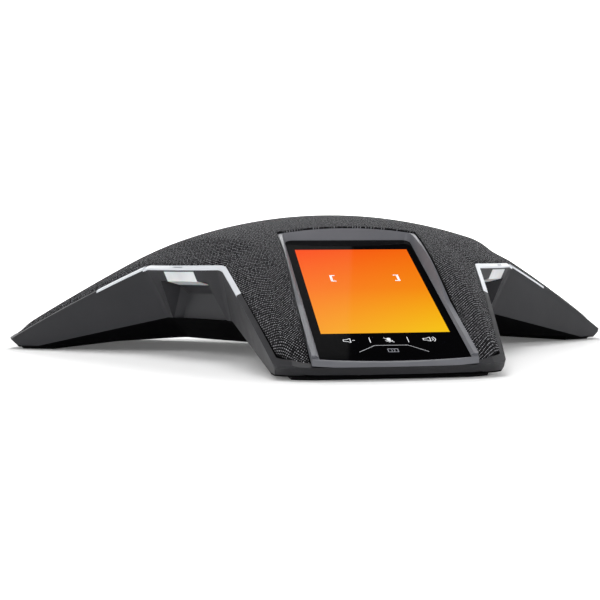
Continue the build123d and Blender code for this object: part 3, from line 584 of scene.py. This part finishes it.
def make_display():
    """The lit picture, its two brackets, and the touch keys under it."""
    white = printed("symbol_white", linear(232, 234, 237))
    flat_piece("screen", [rectangle(0, 0, *SCREEN)], screen_picture_and_glare("screen_picture_and_glare"), lift=0.0)
    flat_piece("screen_marks", bracket(-1) + bracket(1), white)
    keys = loudspeaker_symbol(-KEY_SPACING, KEY_ROW)
    keys += stroke([(-KEY_SPACING + 1.5, KEY_ROW), (-KEY_SPACING + 2.6, KEY_ROW)], 0.4)
    keys += microphone_symbol(0, KEY_ROW)
    keys += loudspeaker_symbol(KEY_SPACING, KEY_ROW)
    for reach in (1.7, 2.7):
        keys += stroke(arc(KEY_SPACING + 0.3, KEY_ROW, reach, -48, 48), 0.36)
    for side in (-1, 1):
        keys.append(rectangle(side * KEY_DIVIDER, KEY_ROW, LINE, 4.8))
    flat_piece("key_symbols", keys, white)
    guide = stroke([(-14.5, -64.4), (-6.9, -58.5), (7.3, -58.7), (14.9, -65.0)], 0.3)
    flat_piece("key_guide", guide, printed("line_grey", linear(168, 170, 174)))
    flat_piece("touch_point", touch_point(0, -63.3), printed("tile_grey", linear(104, 106, 116)))


# ---------------------------------------------------------------- table, light and camera

FLOOR_RADIUS, COVE_RADIUS, WALL_HEIGHT = 1.6, 0.8, 1.3
PANEL_REACH, PANEL_WIDTH = 2.6, 1.6
GLARE_LINE = ((2.5, 59.0), (-20.0, -70.0))
GLOW_RISE, GLOW_NEAR, GLOW_FAR = 0.3, 0.1, 0.95
CAMERA_TURN = (-9.286, 1.826, -0.373)
CAMERA_DISTANCE, CAMERA_AIM = 0.6852, (6.79, 0, 27.33)
SENSOR_WIDTH, FOCAL_LENGTH, LENS_SHIFT = 36.0, 73.56, -1 / 15


def make_table():
    """A round pale floor that curves up into a low wall on every side."""
    profile = [(0.0, 0.0), (0.4, 0.0), (FLOOR_RADIUS, 0.0)]
    profile += [(FLOOR_RADIUS + COVE_RADIUS * math.sin(a), COVE_RADIUS - COVE_RADIUS * math.cos(a))
                for a in (math.radians(9 * i) for i in range(1, 11))]
    profile += [(FLOOR_RADIUS + COVE_RADIUS, WALL_HEIGHT)]
    work = bmesh.new()
    line = [work.verts.new((r, 0.0, z)) for r, z in profile]
    edges = [work.edges.new(pair) for pair in zip(line, line[1:])]
    bmesh.ops.spin(work, geom=line + edges, cent=(0, 0, 0), axis=(0, 0, 1), angle=2 * math.pi, steps=96)
    bmesh.ops.remove_doubles(work, verts=work.verts, dist=1e-5)
    bmesh.ops.recalc_face_normals(work, faces=work.faces)
    if work.faces[0].normal.z < 0:
        bmesh.ops.reverse_faces(work, faces=work.faces)
    mesh = bpy.data.meshes.new("table")
    work.to_mesh(mesh)
    work.free()
    for polygon in mesh.polygons:
        polygon.use_smooth = True
    table = bpy.data.objects.new("table", mesh)
    bpy.context.scene.collection.objects.link(table)
    s = Shader("table", 0.9, Specular_IOR_Level=0.05)
    s.colour(s.ramp(s.noise(6.0), (0.3, (0.80, 0.80, 0.80, 1)), (0.7, (0.82, 0.82, 0.82, 1))))
    away = s.add("ShaderNodeVectorMath", Vector=s.place)
    away.operation = "LENGTH"
    glow = s.add("ShaderNodeMapRange", Value=away.outputs["Value"], From_Min=GLOW_RISE,
                 From_Max=FLOOR_RADIUS, To_Min=GLOW_NEAR, To_Max=GLOW_FAR)
    s.surface.inputs["Emission Color"].default_value = (1.0, 1.0, 1.0, 1.0)
    s.tree.links.new(glow.outputs["Result"], s.surface.inputs["Emission Strength"])
    mesh.materials.append(s.material)
    return table


def area_light(name, place, target, size, power):
    lamp = bpy.data.lights.new(name, "AREA")
    lamp.shape = "RECTANGLE"
    lamp.size, lamp.size_y = size
    lamp.energy = power
    light = bpy.data.objects.new(name, lamp)
    light.location = place
    light.rotation_mode = "QUATERNION"
    light.rotation_quaternion = (Vector(target) - Vector(place)).to_track_quat("-Z", "Y")
    bpy.context.scene.collection.objects.link(light)
    return light


def make_lights():
    world = bpy.data.worlds.new("studio")
    world.use_nodes = True
    sky = world.node_tree.nodes["Background"]
    sky.inputs["Color"].default_value = (1.0, 1.0, 1.0, 1.0)
    sky.inputs["Strength"].default_value = 0.05
    bpy.context.scene.world = world
    bpy.context.scene.view_settings.view_transform = "Standard"
    return [
        area_light("overhead", (-0.1, 0.1, 1.5), (0, 0, 0), (0.9, 0.7), 13.0),
        area_light("behind", (0.2, 1.4, 0.85), (0, 0, 0), (0.8, 0.4), 16.0),
        area_light("key", (-0.7, -1.3, 1.2), (0, 0, 0.03), (0.6, 0.6), 6.0),
        area_light("right", (1.4, -0.7, 0.8), (0, 0, 0.03), (0.5, 0.7), 3.0),
    ]


def make_panel(eye):
    """A faint panel high behind the telephone, whose edge shows as a line in the glass for a low viewer."""
    inward = (eye - DISPLAY).dot(OUT_OF_SCREEN)
    image = eye - OUT_OF_SCREEN * (2 * inward)
    line = [on_display(u, v) for u, v in GLARE_LINE]
    edge = [image + (point - image) * (PANEL_REACH / (point - image).length) for point in line]
    corners = edge + [point - Vector((PANEL_WIDTH, 0, 0)) for point in reversed(edge)]
    mesh = bpy.data.meshes.new("panel_behind")
    mesh.from_pydata([tuple(c) for c in corners], [], [(0, 1, 2, 3)])
    panel = bpy.data.objects.new("panel_behind", mesh)
    bpy.context.scene.collection.objects.link(panel)
    s = Shader("panel_behind", 0.9)
    s.surface.inputs["Base Color"].default_value = (0.02, 0.02, 0.02, 1.0)
    s.surface.inputs["Emission Color"].default_value = (1.0, 1.0, 1.0, 1.0)
    s.surface.inputs["Emission Strength"].default_value = 0.3
    mesh.materials.append(s.material)
    return panel


def make_camera():
    """The photographer's place: low, a little to the left, looking slightly down."""
    azimuth, elevation, roll = (math.radians(a) for a in CAMERA_TURN)
    aim = HUB + Vector(CAMERA_AIM) * MM
    back = Vector((math.sin(azimuth) * math.cos(elevation),
                   -math.cos(azimuth) * math.cos(elevation), math.sin(elevation)))
    right = Vector((math.cos(azimuth), math.sin(azimuth), 0))
    up = back.cross(right)
    rolled_right = right * math.cos(roll) + up * math.sin(roll)
    rolled_up = up * math.cos(roll) - right * math.sin(roll)
    lens = bpy.data.cameras.new("camera")
    lens.sensor_width = SENSOR_WIDTH
    lens.lens = FOCAL_LENGTH
    lens.shift_x = LENS_SHIFT
    lens.clip_start, lens.clip_end = 0.01, 50.0
    camera = bpy.data.objects.new("camera", lens)
    turn = Matrix((rolled_right, rolled_up, back)).transposed().to_4x4()
    camera.matrix_world = Matrix.Translation(aim + back * CAMERA_DISTANCE) @ turn
    bpy.context.scene.collection.objects.link(camera)
    bpy.context.scene.camera = camera
    return camera.matrix_world.translation


dress_nodes()
make_cloth()
make_display()
eye = make_camera()
make_table()
make_panel(eye)
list(make_lights())
